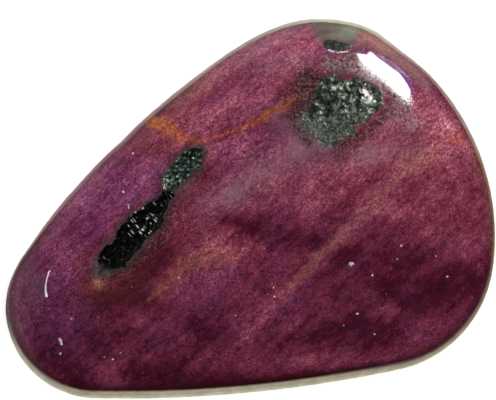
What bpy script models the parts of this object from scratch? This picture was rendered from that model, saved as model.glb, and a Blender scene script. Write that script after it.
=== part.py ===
# A polished freeform ruby cabochon lying on its flat back: one natural stone, ground and polished
# as one piece. Lengths are in metres and angles in radians. +X runs along the stone towards its
# broad end and +Z is up. The origin is on the back, under the middle of the outline's own box.

from math import atan2, cos, exp, pi, radians, sin, sqrt

import bmesh
import bpy
from mathutils import Vector

MM = 0.001

# The foot's outline: three corner rounds, each tangent to the long bulging sides on either hand.
# They go counter-clockwise, and each side runs from its corner to the next.
BROAD_CORNER = (Vector((9.89, -3.56)) * MM, 9.95 * MM)
TOP_CORNER = (Vector((5.51, 5.45)) * MM, 10.2 * MM)
NARROW_TIP = (Vector((-12.40, -8.06)) * MM, 7.55 * MM)
CORNERS = (BROAD_CORNER, TOP_CORNER, NARROW_TIP)
RIGHT_SIDE_RADIUS = 19.3 * MM
UPPER_SIDE_RADIUS = 68.7 * MM
LOWER_SIDE_RADIUS = 107.0 * MM
SIDE_RADII = (RIGHT_SIDE_RADIUS, UPPER_SIDE_RADIUS, LOWER_SIDE_RADIUS)

# The rim is ground by hand, so it swells and dips a little: where, how much and how far along.
RIM_WAVES = (
    (radians(57), 0.12 * MM, radians(6)),
    (radians(46), -0.12 * MM, radians(6)),
    (radians(84), -0.12 * MM, radians(9)),
    (radians(152), -0.08 * MM, radians(6)),
    (radians(-168), -0.15 * MM, radians(7)),
)

# The unpolished girdle wall: a small chamfer at the foot, then a taper in to its top edge.
FOOT_CHAMFER = 0.20 * MM
FOOT_INSET = 0.15 * MM
GIRDLE_HEIGHT = 1.70 * MM
GIRDLE_TAPER = 0.60 * MM

# Where the wall stands steeper than elsewhere, in the same terms as the rim's waves.
TAPER_WAVES = (
    (radians(-12), -0.22 * MM, radians(28)),
    (radians(40), -0.10 * MM, radians(8)),
    (radians(103), -0.08 * MM, radians(10)),
    (radians(-165), -0.26 * MM, radians(14)),
)

# The dome: a steep shoulder inside the rim, then a low crown round its highest point.
SHOULDER_WIDTH = 6.0 * MM
SHOULDER_RISE = 2.15 * MM
CROWN_RISE = 2.15 * MM
CROWN_POINT = Vector((3.0, 0.0)) * MM

# The dark mineral grains are softer than the ruby, so polishing leaves them in shallow hollows.
# Each hollow is a stroke of points in millimetres, x, y and the half width there, and its depth.
BLACK_STROKE = (
    (-11.6, -4.9, 0.9), (-10.5, -4.1, 1.3), (-9.5, -2.9, 1.3), (-8.4, -1.7, 1.1), (-7.2, -0.3, 0.7)
)
GREEN_STROKE = ((-6.4, 1.3, 0.7), (-5.8, 1.9, 1.1), (-4.9, 2.9, 1.1), (-4.1, 3.7, 0.8))
TOP_STROKE = ((6.0, 4.9, 0.8), (6.1, 6.9, 2.1), (7.7, 8.3, 2.1), (9.2, 8.4, 1.3))
EDGE_STROKE = ((6.2, 13.3, 0.9), (7.2, 13.1, 1.3), (8.4, 13.2, 0.9))
HOLLOWS = (
    (BLACK_STROKE, 0.28 * MM),
    (GREEN_STROKE, 0.20 * MM),
    (TOP_STROKE, 0.16 * MM),
    (EDGE_STROKE, 0.12 * MM),
)

POINTS_ROUND = 150
DOME_RINGS = 26
RING_CROWDING = 1.15


def side_centre(start, end, side_radius):
    """The centre of the long arc that runs inside tangent from one corner round to the next."""
    (start_centre, start_radius), (end_centre, end_radius) = start, end
    between = end_centre - start_centre
    along = between.normalized()
    to_start = side_radius - start_radius
    to_end = side_radius - end_radius
    reach = (to_start**2 - to_end**2 + between.length_squared) / (2 * between.length)
    inwards = Vector((-along.y, along.x))
    return start_centre + along * reach + inwards * sqrt(to_start**2 - reach**2)


def heading(vector):
    return atan2(vector.y, vector.x)


def outline_arcs():
    """The outline's arcs in order, each as its centre, radius, first heading and turn."""
    count = len(CORNERS)
    sides = [
        side_centre(CORNERS[i], CORNERS[(i + 1) % count], SIDE_RADII[i]) for i in range(count)
    ]
    starts = []
    for i, (centre, radius) in enumerate(CORNERS):
        starts.append((centre, radius, heading(centre - sides[i - 1])))
        starts.append((sides[i], SIDE_RADII[i], heading(centre - sides[i])))
    arcs = []
    for (centre, radius, first), following in zip(starts, starts[1:] + starts[:1]):
        arcs.append((centre, radius, first, (following[2] - first) % (2 * pi)))
    return arcs


def wave(waves, point):
    """The sum of smooth swells and dips, each round its own heading from the origin."""
    total = 0.0
    for place, size, spread in waves:
        away = (heading(point) - place + pi) % (2 * pi) - pi
        total += size * exp(-((away / spread) ** 2))
    return total


def outline_points(arcs, inset, tapered=False):
    """Evenly spaced points round the outline, this far inside it, or at the girdle's top edge."""
    length = sum(radius * turn for _, radius, _, turn in arcs)
    points = []
    for step in range(POINTS_ROUND):
        left = length * step / POINTS_ROUND
        for centre, radius, first, turn in arcs:
            if left < radius * turn:
                break
            left -= radius * turn
        angle = first + left / radius
        outwards = Vector((cos(angle), sin(angle)))
        on_arc = centre + outwards * radius
        reach = wave(RIM_WAVES, on_arc) - inset
        if tapered:
            reach -= GIRDLE_TAPER + wave(TAPER_WAVES, on_arc)
        points.append(on_arc + outwards * reach)
    return points


def rim_distance(point, arcs):
    """How far inside the girdle's top edge a point lies."""
    distances = []
    for centre, radius, first, turn in arcs:
        from_centre = point - centre
        if (heading(from_centre) - first) % (2 * pi) <= turn:
            distances.append(radius - GIRDLE_TAPER - from_centre.length)
    return min(distances)


def hollow_depth(point):
    """The depth of the mineral hollows at this point, from the nearest part of each stroke."""
    depth = 0.0
    for stroke, deepest in HOLLOWS:
        inside = 0.0
        for (x1, y1, half1), (x2, y2, half2) in zip(stroke, stroke[1:]):
            start = Vector((x1, y1)) * MM
            along = Vector((x2, y2)) * MM - start
            share = min(max((point - start).dot(along) / along.length_squared, 0.0), 1.0)
            half_width = (half1 + (half2 - half1) * share) * MM
            off = (point - start - along * share).length / half_width
            inside = max(inside, min(1.0, 1.6 * (1 - off**2)))
        depth += deepest * inside**2 * (3 - 2 * inside)
    return depth


def dome_point(rim_point, share, arcs):
    """The dome's surface at this share of the way from the crown point out to the rim."""
    point = CROWN_POINT + (rim_point - CROWN_POINT) * share
    inside = max(0.0, rim_distance(point, arcs) - share * rim_distance(rim_point, arcs))
    across = min(1.0, inside / SHOULDER_WIDTH)
    height = GIRDLE_HEIGHT + SHOULDER_RISE * (1 - (1 - across) ** 3)
    height += CROWN_RISE * (1 - share**2)
    return (point.x, point.y, height - hollow_depth(point))


def add_ring(mesh, places):
    return [mesh.verts.new(place) for place in places]


def join_rings(mesh, lower, upper):
    """A band of four-sided faces between two rings that go counter-clockwise."""
    for i, vertex in enumerate(lower):
        after = (i + 1) % len(lower)
        mesh.faces.new((vertex, lower[after], upper[after], upper[i]))


def build_stone():
    arcs = outline_arcs()
    mesh = bmesh.new()

    # the flat back, the chamfer at the foot and the girdle wall
    back = outline_points(arcs, FOOT_INSET)
    foot = outline_points(arcs, 0.0)
    rim = outline_points(arcs, 0.0, tapered=True)
    below = add_ring(mesh, [(point.x, point.y, 0.0) for point in back])
    mesh.faces.new(reversed(below))
    for points, height in ((foot, FOOT_CHAMFER), (rim, GIRDLE_HEIGHT)):
        ring = add_ring(mesh, [(point.x, point.y, height) for point in points])
        join_rings(mesh, below, ring)
        below = ring

    # the dome's rings, closer together near the rim where it bends most
    for step in range(1, DOME_RINGS):
        share = 1 - (step / DOME_RINGS) ** RING_CROWDING
        ring = add_ring(mesh, [dome_point(point, share, arcs) for point in rim])
        join_rings(mesh, below, ring)
        below = ring
    top = mesh.verts.new(dome_point(rim[0], 0.0, arcs))
    for i, vertex in enumerate(below):
        mesh.faces.new((vertex, below[(i + 1) % POINTS_ROUND], top))

    data = bpy.data.meshes.new("ruby")
    mesh.to_mesh(data)
    mesh.free()
    return data


def polished_ruby():
    """Deep purplish red corundum with a high polish."""
    material = bpy.data.materials.new("polished_ruby")
    material.use_nodes = True
    shader = material.node_tree.nodes["Principled BSDF"]
    shader.inputs["Base Color"].default_value = (0.135, 0.024, 0.072, 1.0)
    shader.inputs["Roughness"].default_value = 0.08
    shader.inputs["Metallic"].default_value = 0.0
    shader.inputs["IOR"].default_value = 1.77
    return material


for old in list(bpy.data.objects):
    bpy.data.objects.remove(old)

stone = bpy.data.objects.new("ruby", build_stone())
bpy.context.scene.collection.objects.link(stone)
stone.data.materials.append(polished_ruby())
stone.data.shade_smooth()
stone.data.set_sharp_from_angle(angle=radians(30))
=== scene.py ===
# %% [markdown]
# A ruby cabochon in its studio
#
# The stone in this lesson is one piece of natural ruby. Its back is sawn flat, its girdle, the wall
# round the edge, is ground matt, and its dome is polished. The solid model gives its size and its
# place. This script models the same stone again with a mesh fine enough for its minerals, and
# gives it its finish: mottled colour, veins, dark mineral grains and a high polish.

# %% The fixed frame
from math import atan2, cos, pi, radians, sin, sqrt

import bpy
import numpy as np
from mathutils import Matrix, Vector


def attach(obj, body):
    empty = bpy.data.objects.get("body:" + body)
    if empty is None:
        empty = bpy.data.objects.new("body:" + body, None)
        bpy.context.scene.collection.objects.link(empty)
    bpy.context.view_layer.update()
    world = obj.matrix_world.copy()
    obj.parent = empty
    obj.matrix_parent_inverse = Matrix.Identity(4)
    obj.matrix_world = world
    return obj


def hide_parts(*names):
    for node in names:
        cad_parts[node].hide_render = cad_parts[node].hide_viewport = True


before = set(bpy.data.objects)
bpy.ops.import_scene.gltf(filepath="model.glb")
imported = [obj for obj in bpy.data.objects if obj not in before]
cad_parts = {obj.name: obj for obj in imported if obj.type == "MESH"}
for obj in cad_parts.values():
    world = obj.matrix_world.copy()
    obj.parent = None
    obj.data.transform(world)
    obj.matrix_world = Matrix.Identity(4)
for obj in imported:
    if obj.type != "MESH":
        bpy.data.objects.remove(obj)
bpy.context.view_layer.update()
bpy.ops.object.select_all(action="DESELECT")

# %% [markdown]
# The camera looks down on the stone from nearly straight above, leaning a few degrees towards the
# lower side, so that a sliver of the girdle shows there. It stands far off with a long lens, which
# keeps the outline free of perspective. It is made first.

# %% The camera
MM = 0.001
CAMERA_LEAN = radians(7)
CAMERA_DISTANCE = 250 * MM
CAMERA_AIM = Vector((-0.22, 0.59, 0.15)) * MM
CAMERA_LENS = 222.5

bpy.ops.object.camera_add()
camera = bpy.context.object
camera.name = "stone_camera"
camera.location = CAMERA_AIM + CAMERA_DISTANCE * Vector((0, -sin(CAMERA_LEAN), cos(CAMERA_LEAN)))
camera.rotation_euler = (CAMERA_LEAN, 0, 0)
camera.data.lens = CAMERA_LENS
camera.data.clip_start = 10 * MM
camera.data.clip_end = 5.0
bpy.context.scene.camera = camera
print("the camera stands", round(camera.location.z / MM), "mm above the floor")

# %% [markdown]
# The outline is three corner rounds, each tangent to long bulging sides, the way a cutter brings a
# slab to shape on a wheel. Arcs need only a centre and a radius each, so they say the shape in a
# few numbers. The rim swells and dips a little by hand, which the waves add.

# %% The outline's numbers
CORNERS = (
    (np.array((9.89, -3.56)) * MM, 9.95 * MM),
    (np.array((5.51, 5.45)) * MM, 10.2 * MM),
    (np.array((-12.40, -8.06)) * MM, 7.55 * MM),
)
SIDE_RADII = (19.3 * MM, 68.7 * MM, 107.0 * MM)
RIM_WAVES = (
    (radians(57), 0.12 * MM, radians(6)),
    (radians(46), -0.12 * MM, radians(6)),
    (radians(84), -0.12 * MM, radians(9)),
    (radians(152), -0.08 * MM, radians(6)),
    (radians(-168), -0.15 * MM, radians(7)),
)
TAPER_WAVES = (
    (radians(-12), -0.22 * MM, radians(28)),
    (radians(40), -0.10 * MM, radians(8)),
    (radians(103), -0.08 * MM, radians(10)),
    (radians(-165), -0.26 * MM, radians(14)),
)
GIRDLE_TAPER = 0.60 * MM


# %% The outline's arcs
def side_centre(start, end, side_radius):
    """The centre of the long arc that runs inside tangent from one corner round to the next."""
    (start_centre, start_radius), (end_centre, end_radius) = start, end
    between = end_centre - start_centre
    length = np.hypot(*between)
    along = between / length
    to_start = side_radius - start_radius
    to_end = side_radius - end_radius
    reach = (to_start**2 - to_end**2 + length**2) / (2 * length)
    inwards = np.array((-along[1], along[0]))
    return start_centre + along * reach + inwards * sqrt(to_start**2 - reach**2)


def outline_arcs():
    """The outline's arcs in order, each as its centre, radius, first heading and turn."""
    sides = [side_centre(CORNERS[i], CORNERS[(i + 1) % 3], SIDE_RADII[i]) for i in range(3)]
    starts = []
    for i, (centre, radius) in enumerate(CORNERS):
        before, after = centre - sides[i - 1], centre - sides[i]
        starts.append((centre, radius, atan2(before[1], before[0])))
        starts.append((sides[i], SIDE_RADII[i], atan2(after[1], after[0])))
    arcs = []
    for (centre, radius, first), following in zip(starts, starts[1:] + starts[:1]):
        arcs.append((centre, radius, first, (following[2] - first) % (2 * pi)))
    return arcs


ARCS = outline_arcs()
print("the outline is", round(sum(arc[1] * arc[3] for arc in ARCS) / MM, 1), "mm round")


# %% Points on the outline
def wave(waves, headings):
    """The sum of smooth swells and dips, each round its own heading from the origin."""
    total = np.zeros_like(headings)
    for place, size, spread in waves:
        away = (headings - place + pi) % (2 * pi) - pi
        total += size * np.exp(-((away / spread) ** 2))
    return total


def outline_at(shares, inset, taper):
    """Points at these shares of the way round the outline, this far inside it."""
    along = shares * sum(radius * turn for _, radius, _, turn in ARCS)
    points = np.zeros((len(shares), 2))
    passed = 0.0
    for centre, radius, first, turn in ARCS:
        here = (along >= passed) & (along <= passed + radius * turn)
        angles = first + (along[here] - passed) / radius
        outwards = np.column_stack((np.cos(angles), np.sin(angles)))
        on_arc = centre + outwards * radius
        headings = np.arctan2(on_arc[:, 1], on_arc[:, 0])
        narrowed = GIRDLE_TAPER + wave(TAPER_WAVES, headings)
        reach = wave(RIM_WAVES, headings) - inset[here] - taper[here] * narrowed
        points[here] = on_arc + outwards * reach[:, None]
        passed += radius * turn
    return points


# %% [markdown]
# The blank is a round drum, easy to build ring by ring: a circle, extruded up for the girdle, then
# extruded and drawn in towards the middle, once for the dome and once for the back. Every point of
# the drum has an angle, a radius and a height, and later each is moved to the same share of the
# way round, out and up on the stone. So the hard outline never has to be modelled by hand.

# %% The drum's girdle
DRUM_RADIUS = 20 * MM
POINTS_ROUND = 480
GIRDLE_STEPS = 9
GIRDLE_HEIGHT = 1.70 * MM

bpy.ops.mesh.primitive_circle_add(vertices=POINTS_ROUND, radius=DRUM_RADIUS, fill_type="NOTHING")
stone = bpy.context.object
stone.name = "ruby_stone"
stone.data.name = "ruby_stone"
bpy.ops.object.mode_set(mode="EDIT")
bpy.ops.mesh.select_all(action="SELECT")
for step in range(GIRDLE_STEPS):
    bpy.ops.mesh.extrude_region_move(
        TRANSFORM_OT_translate={"value": (0, 0, GIRDLE_HEIGHT / GIRDLE_STEPS)}
    )
print("girdle rows:", GIRDLE_STEPS)

# %% [markdown]
# The rings of the dome crowd together near the rim, where the stone bends most. Each is the last
# one extruded in place and scaled about the drum's axis. The last ring is merged into one point,
# which closes the pole.


# %% The drum's dome and back
def ring_shares(rings, crowding=1.0):
    """The radius of each ring as a share of the drum's, from the first inside the rim."""
    return [1 - (step / rings) ** crowding for step in range(1, rings)]


def draw_in(shares, height):
    """Extrudes the selected ring towards the axis through these shares, and closes the middle."""
    last = 1.0
    for share in shares:
        bpy.ops.mesh.extrude_region_move()
        factor = share / last
        bpy.ops.transform.resize(value=(factor, factor, 1), center_override=(0, 0, height))
        last = share
    bpy.ops.mesh.extrude_region_move()
    bpy.ops.mesh.merge(type="CENTER")


DOME_RINGS = 84
DOME_CROWDING = 1.15
BACK_RINGS = 30
draw_in(ring_shares(DOME_RINGS, DOME_CROWDING), GIRDLE_HEIGHT)
bpy.ops.object.mode_set(mode="OBJECT")
for vertex in stone.data.vertices:
    vertex.select = vertex.co.z < 0.01 * MM
bpy.ops.object.mode_set(mode="EDIT")
draw_in(ring_shares(BACK_RINGS), 0.0)
bpy.ops.mesh.select_all(action="SELECT")
bpy.ops.mesh.normals_make_consistent(inside=False)
bpy.ops.object.mode_set(mode="OBJECT")
print("drum:", len(stone.data.vertices), "points,", len(stone.data.polygons), "faces")

# %% [markdown]
# The dome rises steeply just inside the rim and then runs on as a low crown. Where the dark
# minerals reach the surface, polishing leaves shallow hollows, because they are softer than the
# ruby. Heights are a formula of the place, so the same lines shape a coarse mesh and a fine one.

# %% The dome's numbers
FOOT_CHAMFER = 0.20 * MM
FOOT_INSET = 0.15 * MM
SHOULDER_WIDTH = 6.0 * MM
SHOULDER_RISE = 2.15 * MM
CROWN_RISE = 2.15 * MM
CROWN_POINT = np.array((3.0, 0.0)) * MM
CLEARANCE = 0.01 * MM
BLACK_HOLLOW = (
    (-11.6, -4.9, 0.9), (-10.5, -4.1, 1.3), (-9.5, -2.9, 1.3), (-8.4, -1.7, 1.1), (-7.2, -0.3, 0.7)
)
GREEN_HOLLOW = ((-6.4, 1.3, 0.7), (-5.8, 1.9, 1.1), (-4.9, 2.9, 1.1), (-4.1, 3.7, 0.8))
TOP_HOLLOW = ((6.0, 4.9, 0.8), (6.1, 6.9, 2.1), (7.7, 8.3, 2.1), (9.2, 8.4, 1.3))
EDGE_HOLLOW = ((6.2, 13.3, 0.9), (7.2, 13.1, 1.3), (8.4, 13.2, 0.9))
HOLLOWS = (
    (BLACK_HOLLOW, 0.28 * MM),
    (GREEN_HOLLOW, 0.20 * MM),
    (TOP_HOLLOW, 0.16 * MM),
    (EDGE_HOLLOW, 0.12 * MM),
)


# %% Heights on the dome
def rim_distance(points):
    """How far inside the girdle's top edge each point lies."""
    nearest = np.full(len(points), 1.0)
    for centre, radius, first, turn in ARCS:
        off = points - centre
        facing = (np.arctan2(off[:, 1], off[:, 0]) - first) % (2 * pi) <= turn
        distance = radius - GIRDLE_TAPER - np.hypot(off[:, 0], off[:, 1])
        nearest = np.where(facing, np.minimum(nearest, distance), nearest)
    return nearest


def off_stroke(spots, stroke):
    """How far each spot is from a stroke's middle line, as a share of the half width there."""
    nearest = np.full(len(spots), 99.0)
    for (x1, y1, half1), (x2, y2, half2) in zip(stroke, stroke[1:] or stroke):
        start = np.array((x1, y1))
        along = np.array((x2, y2)) - start
        share = np.clip((spots - start) @ along / max(along @ along, 1e-9), 0, 1)
        away = np.hypot(*(spots - start - share[:, None] * along).T)
        nearest = np.minimum(nearest, away / (half1 + (half2 - half1) * share))
    return nearest


def hollow_depth(points):
    """The depth of the mineral hollows at each point."""
    depth = np.zeros(len(points))
    for stroke, deepest in HOLLOWS:
        inside = np.clip(1.6 * (1 - off_stroke(points / MM, stroke) ** 2), 0, 1)
        depth += deepest * inside**2 * (3 - 2 * inside)
    return depth


def dome_height(points, shares, rims):
    """The dome's height at each point, which lies this share of the way out to its rim point."""
    inside = np.maximum(0, rim_distance(points) - shares * rim_distance(rims))
    across = np.minimum(1, inside / SHOULDER_WIDTH)
    height = GIRDLE_HEIGHT + SHOULDER_RISE * (1 - (1 - across) ** 3)
    return height + CROWN_RISE * (1 - shares**2) - hollow_depth(points)


# %% [markdown]
# This is the move from drum to stone. A point's angle on the drum becomes its share of the way
# round the outline, and its radius the share of the way out from the crown point. A point on the
# girdle takes its height and its taper from the drum's height.


# %% From drum to stone
def stone_places(drum):
    """Where each point of the drum goes on the stone."""
    angle_share = (np.arctan2(drum[:, 1], drum[:, 0]) / (2 * pi)) % 1
    out = np.minimum(np.hypot(drum[:, 0], drum[:, 1]) / DRUM_RADIUS, 1)
    up = drum[:, 2] / GIRDLE_HEIGHT
    on_back, on_dome = up < 0.01, up > 0.99
    on_wall = ~on_back & ~on_dome
    climb = (up - 1 / GIRDLE_STEPS) / (1 - 1 / GIRDLE_STEPS)
    taper = np.where(on_back, 0, np.clip(climb, 0, 1))
    inset = np.where(on_back, FOOT_INSET, 0) + CLEARANCE
    rims = outline_at(angle_share, inset, taper)
    middle = np.where(on_back[:, None], 0, CROWN_POINT)
    flat = np.where(on_wall[:, None], rims, middle + (rims - middle) * out[:, None])
    wall_height = FOOT_CHAMFER + (GIRDLE_HEIGHT - FOOT_CHAMFER) * np.clip(climb, 0, 1)
    height = np.where(on_dome, dome_height(flat, out, rims), np.where(on_wall, wall_height, 0))
    return np.column_stack((flat, height))


def read_places(mesh):
    places = np.empty(len(mesh.vertices) * 3, np.float32)
    mesh.vertices.foreach_get("co", places)
    return places.reshape(-1, 3).astype(float)


# %% [markdown]
# The mineral grains and the painted glints need a finer mesh than the rest, so the drum's faces
# are subdivided there, and only there. The faces are chosen by where their middles will lie on
# the stone. A mesh as fine all over would cost nine times the faces and show nothing more. The
# outlines and glints are in millimetres, as the hollows' strokes are. A glint is a painted
# highlight, a dot or a short dash, each of its points with its x, its y and the half width there.

# %% The minerals' outlines
BLACK_MINERAL = (
    (-12.0, -5.9), (-12.3, -5.1), (-12.0, -4.3), (-11.6, -3.7), (-11.0, -3.4), (-10.7, -2.6),
    (-10.3, -2.0), (-9.4, -1.1), (-8.8, -0.7), (-7.5, 0.0), (-6.9, 0.7), (-6.4, 0.9), (-6.1, 0.4),
    (-6.7, -0.6), (-6.9, -1.4), (-7.1, -2.2), (-8.1, -3.0), (-8.5, -3.3), (-8.8, -3.9), (-9.8, -4.9),
    (-10.0, -5.4), (-10.8, -5.5), (-11.4, -5.6),
)
GREEN_MINERAL = (
    (-4.0, 4.3), (-3.8, 3.8), (-3.9, 3.1), (-4.1, 2.4), (-4.8, 2.3), (-5.0, 1.7), (-5.8, 1.1),
    (-6.2, 0.7), (-6.6, 0.8), (-7.0, 1.2), (-7.1, 1.7), (-6.7, 2.3), (-6.2, 2.9), (-5.6, 3.7),
    (-5.1, 4.1), (-4.5, 4.2),
)
TOP_MINERAL = (
    (5.9, 10.0), (6.6, 10.1), (7.6, 9.8), (8.7, 9.9), (9.4, 9.6), (10.2, 9.0), (10.7, 8.4),
    (10.6, 7.8), (10.0, 6.9), (9.4, 6.4), (8.6, 6.0), (8.3, 5.0), (7.2, 5.0), (6.7, 4.3), (6.2, 4.1),
    (5.4, 4.6), (4.7, 5.3), (4.2, 5.9), (4.1, 6.5), (4.4, 7.1), (4.9, 7.6), (5.2, 8.1), (5.2, 8.7),
    (5.5, 9.4),
)
EDGE_MINERAL = (
    (5.8, 13.0), (6.1, 13.2), (6.9, 13.2), (7.6, 13.0), (8.2, 12.8), (8.0, 12.5), (7.7, 12.3),
    (7.1, 12.2), (6.2, 12.3), (5.9, 12.5),
)
EDGE_PALE = (
    (5.0, 15.6), (7.0, 15.8), (9.2, 15.2), (9.0, 14.1), (8.5, 13.5), (8.2, 12.8), (7.7, 12.9),
    (6.9, 13.1), (6.1, 13.2), (5.5, 13.2), (5.2, 14.2),
)
LARGE_MINERALS = (BLACK_MINERAL, GREEN_MINERAL, TOP_MINERAL)
MINERALS = (*LARGE_MINERALS, EDGE_MINERAL)
GLINT_DOTS = (
    (8.0, -5.2, 0.22), (9.7, -6.1, 0.10), (12.0, -3.7, 0.10), (11.7, -4.8, 0.08),
    (14.8, -4.5, 0.09), (15.7, -6.1, 0.10), (1.8, -7.1, 0.09), (1.9, -7.8, 0.11),
    (-1.2, -9.3, 0.09), (0.6, 1.0, 0.07), (9.9, -10.7, 0.08), (7.4, -10.0, 0.08), (8.5, -9.1, 0.09),
    (1.1, -4.0, 0.07), (-5.3, 9.4, 0.08), (-9.5, 4.0, 0.10), (-10.2, 0.7, 0.12), (-5.7, -6.3, 0.07),
    (-13.4, 1.1, 0.07), (-11.7, -12.5, 0.07), (-11.0, -12.7, 0.08), (-10.4, -12.2, 0.07),
    (-15.2, -12.2, 0.10), (-14.3, -9.5, 0.08), (-16.1, -8.6, 0.08), (-17.0, -9.6, 0.07),
    (9.65, 8.25, 0.28), (9.2, 9.4, 0.10), (9.95, 8.0, 0.15), (9.0, 8.3, 0.12), (7.6, 7.6, 0.09),
    (8.1, 9.5, 0.08), (-8.6, -0.7, 0.10), (-9.2, -1.0, 0.07), (-8.3, -1.5, 0.10),
    (-8.6, -2.4, 0.13), (-8.0, -1.9, 0.10), (-8.1, -2.7, 0.08), (-7.8, -1.2, 0.07),
    (-5.9, 1.9, 0.10), (-4.6, 3.4, 0.08),
)
GLINT_DASHES = (
    ((-9.8, -0.4, 0.06), (-9.7, -0.8, 0.05)), ((-15.2, -11.1, 0.15), (-15.1, -11.5, 0.10)),
    ((9.1, 8.9, 0.18), (9.3, 8.6, 0.26)), ((6.3, 12.3, 0.07), (6.7, 12.15, 0.09)),
    ((7.0, 12.1, 0.07), (7.8, 12.2, 0.09)),
)
GLINTS = [(dot,) for dot in GLINT_DOTS] + list(GLINT_DASHES)
print(len(MINERALS), "minerals and", len(GLINTS), "glints")

# %% A finer mesh at the minerals and glints
MINERAL_ROOM = 0.3
GLINT_ROOM = 2.5
DOME_FOOT = GIRDLE_HEIGHT / MM + 0.05
CUT_FOOT = GIRDLE_HEIGHT / MM + 0.1


def inside_outline(places, corners):
    """How far each place lies inside a closed outline, in millimetres, and below 0 outside it."""
    nearest = np.full(len(places), 99.0)
    crossings = np.zeros(len(places), int)
    for (x1, y1), (x2, y2) in zip(corners, corners[1:] + corners[:1]):
        start = np.array((x1, y1))
        along = np.array((x2, y2)) - start
        share = np.clip((places - start) @ along / (along @ along), 0, 1)
        away = np.hypot(*(places - start - share[:, None] * along).T)
        nearest = np.minimum(nearest, away)
        spans = (places[:, 1] < y1) != (places[:, 1] < y2)
        meets = x1 + (places[:, 1] - y1) * along[0] / (along[1] or 1)
        crossings += spans & (places[:, 0] < meets)
    return np.where(crossings % 2 == 1, nearest, -nearest)


def select_faces(mesh, chosen):
    """Selects exactly these faces of a mesh, in object mode."""
    mesh.vertices.foreach_set("select", np.zeros(len(mesh.vertices), bool))
    mesh.edges.foreach_set("select", np.zeros(len(mesh.edges), bool))
    mesh.polygons.foreach_set("select", chosen)


def face_middles(mesh, places):
    """The middle of each face, in millimetres, from its first and third corners."""
    first = np.array([face.vertices[0] for face in mesh.polygons])
    third = np.array([face.vertices[2] for face in mesh.polygons])
    return (places[first] + places[third]) / 2 / MM


def subdivide_where(chooser, cuts):
    """Subdivides the dome's faces whose middles on the stone the chooser picks."""
    middles = face_middles(stone.data, stone_places(read_places(stone.data)))
    select_faces(stone.data, chooser(middles[:, :2]) & (middles[:, 2] > CUT_FOOT))
    bpy.ops.object.mode_set(mode="EDIT")
    bpy.ops.mesh.select_mode(type="FACE")
    bpy.ops.mesh.subdivide(number_cuts=cuts)
    bpy.ops.object.mode_set(mode="OBJECT")
    print("faces after the cuts:", len(stone.data.polygons))


def inside_any(places, outlines):
    return np.max([inside_outline(places, corners) for corners in outlines], axis=0)


def near_minerals(places):
    return inside_any(places, MINERALS) > -MINERAL_ROOM


def near_glints(places):
    return np.min([off_stroke(places, glint) for glint in GLINTS], axis=0) < GLINT_ROOM


subdivide_where(near_minerals, 2)
subdivide_where(near_glints, 2)

# %% The stone takes its shape
stone.data.vertices.foreach_set("co", stone_places(read_places(stone.data)).ravel())
stone.data.update()
print("the stone is", [round(side / MM, 2) for side in stone.dimensions], "mm")

# %% [markdown]
# The grains of the large minerals sink a little into their hollows, and the girdle keeps the marks
# of the coarse wheel. Both are real relief, because a low light shows it. A Displace modifier
# moves the points of one vertex group by a small texture, and is then applied.


# %% Small relief
GRAIN_SIZE = 0.35 * MM
GRAIN_DEPTH = 0.10 * MM
WHEEL_MARK_SIZE = 0.5 * MM
WHEEL_MARK_DEPTH = 0.06 * MM


def add_group(name, weights):
    group = stone.vertex_groups.new(name=name)
    for level in np.unique(np.round(weights, 1)):
        members = np.flatnonzero(np.round(weights, 1) == level)
        if level > 0:
            group.add(members.tolist(), float(level), "REPLACE")
    print(name, "relief on", int((weights > 0).sum()), "points")


def roughen(group, texture, strength, direction):
    """Moves one vertex group by a texture and applies the modifier."""
    bpy.context.view_layer.objects.active = stone
    modifier = stone.modifiers.new(group, "DISPLACE")
    modifier.texture = texture
    modifier.texture_coords = "LOCAL"
    modifier.direction = direction
    modifier.vertex_group = group
    modifier.mid_level = 1.0
    modifier.strength = strength
    bpy.ops.object.modifier_apply(modifier=group)


spots = read_places(stone.data) / MM
grain_weight = np.clip(1.5 * inside_any(spots[:, :2], LARGE_MINERALS), 0, 1)
add_group("grains", grain_weight * (spots[:, 2] > DOME_FOOT))
crystals = bpy.data.textures.new("crystals", "VORONOI")
crystals.noise_scale = GRAIN_SIZE
roughen("grains", crystals, GRAIN_DEPTH, "Z")

girdle_top = GIRDLE_HEIGHT / MM
add_group("girdle", ((spots[:, 2] > 0.1) & (spots[:, 2] < girdle_top - 0.1)).astype(float))
wheel_marks = bpy.data.textures.new("wheel_marks", "CLOUDS")
wheel_marks.noise_scale = WHEEL_MARK_SIZE
wheel_marks.noise_depth = 3
roughen("girdle", wheel_marks, WHEEL_MARK_DEPTH, "NORMAL")

# %% Smooth shading, and the stone's place in the frame
bpy.ops.object.shade_smooth_by_angle(angle=radians(30))
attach(stone, "root")
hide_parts("ruby")
triangles = sum(len(face.vertices) - 2 for face in stone.data.polygons)
print("the stone has", triangles, "triangles")

# %% [markdown]
# A natural stone's colour lies in clouds, bands and veins that no single noise can draw. So the
# large patches are painted as strokes, each a strength and then a few points with a half
# width each, and stored on the mesh as named attributes. The material reads them and adds the fine
# grain, which noise does well. An attribute travels with the mesh, so the pattern stays put from
# every side.


# %% Painting helpers
def paint(name, values):
    """Stores one number per point under this name, for the material to read."""
    layer = stone.data.attributes.new(name, "FLOAT", "POINT")
    layer.data.foreach_set("value", values.astype(np.float32))
    print(f"{name}: {values.min():.2f} to {values.max():.2f}")


def wash(strokes):
    """Soft strokes added together, each fading like a bell from its middle line."""
    total = np.zeros(len(spots))
    for strength, *stroke in strokes:
        total += strength * np.exp(-off_stroke(spots[:, :2], stroke) ** 2)
    return total


def closeness(stroke):
    """1 on the stroke's middle line, 0 at its half width and less beyond it."""
    return np.clip(1 - off_stroke(spots[:, :2], stroke), -2, 1)


spots = read_places(stone.data) / MM
print("painting on", len(spots), "points")
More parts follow.
